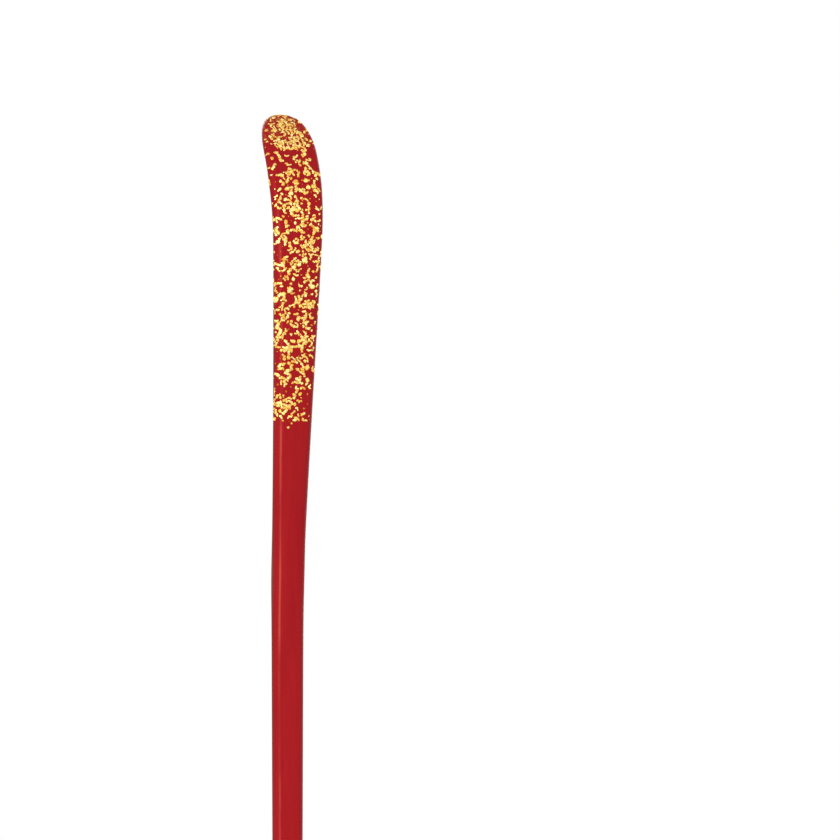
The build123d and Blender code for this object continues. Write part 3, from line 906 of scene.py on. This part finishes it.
# %% [markdown]
# The picture is taken level, 20 degrees round from the back's middle, through a lens so long
# that the scoop's far side isn't seen smaller. The handle and the tip are put on their pixels.

# %% Camera
PIXELS_PER_MM, IMAGE, HANDLE_PIXEL, TIP_PIXEL = 5.123, 840, 287.4, 113.9
LENS, SENSOR = 300.0, 36.0
turned = math.radians(160)
towards = Vector((math.sin(turned), -math.cos(turned), 0))
right = Vector((math.cos(turned), math.sin(turned), 0))
handle_at = (HANDLE_PIXEL - IMAGE / 2) / PIXELS_PER_MM
middle = Vector((0, 0, LENGTH - (IMAGE / 2 - TIP_PIXEL) / PIXELS_PER_MM)) - right * handle_at
camera_data = bpy.data.cameras.new("camera")
camera_data.lens, camera_data.sensor_width = LENS, SENSOR
camera_data.clip_start = 0.05
camera = bpy.data.objects.new("camera", camera_data)
bpy.context.scene.collection.objects.link(camera)
camera.location = (middle + towards * (IMAGE / PIXELS_PER_MM) * LENS / SENSOR) * mm
camera.rotation_mode = "QUATERNION"
camera.rotation_quaternion = (-towards).to_track_quat("-Z", "Y")
bpy.context.scene.camera = camera
bpy.context.scene.view_settings.view_transform = "Standard"
print("camera at", [round(c, 3) for c in camera.location], "m")

# %% [markdown]
# The light is a soft studio one: four softboxes round the scoop, a narrow one that catches
# the back's +X chamfer, and a plain white world. The camera and the reflections see the world
# white, and it lights the scoop more gently. A lamp's power falls off with the square of its
# distance, so each box is given by how brightly it would light a white face turned to it, and
# its watts are worked out from that.

# %% Lights and world
AWAY = 0.9


def softbox(name, turned, height, size, level):
    """A softbox at an angle round the scoop, aimed at it, that lights it to a level."""
    turned, height = math.radians(turned), math.radians(height)
    out = Vector((math.sin(turned) * math.cos(height), -math.cos(turned) * math.cos(height),
                  math.sin(height)))
    data = bpy.data.lights.new(name, "AREA")
    data.shape, data.size, data.size_y = "RECTANGLE", *size
    data.energy = level * (math.pi * AWAY) ** 2
    box = bpy.data.objects.new(name, data)
    bpy.context.scene.collection.objects.link(box)
    box.location = Vector((0, 0, LENGTH / 2 * mm)) + out * AWAY
    box.rotation_mode = "QUATERNION"
    box.rotation_quaternion = out.to_track_quat("Z", "Y")
    box.visible_camera = False
    print(f"{name}: {data.energy:.2f} W")


def directly_seen(tree):
    """1 for the camera's, reflected and refracted rays, and 0 for those that only light."""
    path = add(tree, "LightPath").outputs
    seen = add(tree, "Math", {0: path["Is Camera Ray"], 1: path["Is Glossy Ray"]},
               operation="MAXIMUM").outputs[0]
    return add(tree, "Math", {0: seen, 1: path["Is Transmission Ray"]},
               operation="MAXIMUM").outputs[0]


softbox("back_key", 150, 20, (0.3, 0.5), 0.38)
softbox("back_fill", 232, 12, (0.4, 0.5), 0.09)
softbox("arris_strip", 128, 15, (0.06, 0.6), 0.25)
softbox("front_key", 12, 22, (0.3, 0.5), 0.52)
softbox("front_fill", -45, 10, (0.5, 0.5), 0.18)

world = bpy.data.worlds.new("world")
bpy.context.scene.world = world
world.use_nodes = True
tree = world.node_tree
tree.nodes.clear()
strength = add(tree, "MapRange", {"Value": directly_seen(tree), "To Min": 0.4, "To Max": 1.0})
shine = add(tree, "Background", {"Color": (1, 1, 1, 1), "Strength": strength.outputs[0]})
add(tree, "OutputWorld", {"Surface": shine.outputs[0]})

# %% [markdown]
# The floor is a pale disc that keeps the shadow at the scoop's foot. Towards its edge it turns
# into the same white as the world, so that no horizon shows behind the scoop from any side.

# %% Floor
FLOOR, FADE_FROM, FADE_TO, SHADE_OF_FLOOR = 0.5, 0.03, 0.3, "#F4F4F4"
deselect()
bpy.ops.mesh.primitive_circle_add(vertices=96, radius=FLOOR, fill_type="NGON")
floor = bpy.context.object
floor.name = "floor"
pale, tree, shader = new_material("pale_floor")
shader.inputs["Base Color"].default_value = colour(SHADE_OF_FLOOR)
shader.inputs["Roughness"].default_value = 0.9
seen = directly_seen(tree)
lifted = add(tree, "Math", {0: seen, 1: 0.3}, operation="MULTIPLY").outputs[0]
tree.links.new(lifted, shader.inputs["Emission Strength"])
shader.inputs["Emission Color"].default_value = (1, 1, 1, 1)
far = add(tree, "VectorMath", {0: add(tree, "TexCoord").outputs["Object"]}, operation="LENGTH")
fade = add(tree, "MapRange", {"Value": far.outputs["Value"], "From Min": FADE_FROM,
                              "From Max": FADE_TO}, interpolation_type="SMOOTHSTEP")
strength = add(tree, "MapRange", {"Value": seen, "To Min": 0.5, "To Max": 1.0})
white = add(tree, "Emission", {"Color": (1, 1, 1, 1), "Strength": strength.outputs[0]})
blend = add(tree, "MixShader", {0: fade.outputs[0], 1: shader.outputs[0], 2: white.outputs[0]})
tree.links.new(blend.outputs[0], tree.nodes["Material Output"].inputs["Surface"])
dress(floor, pale)
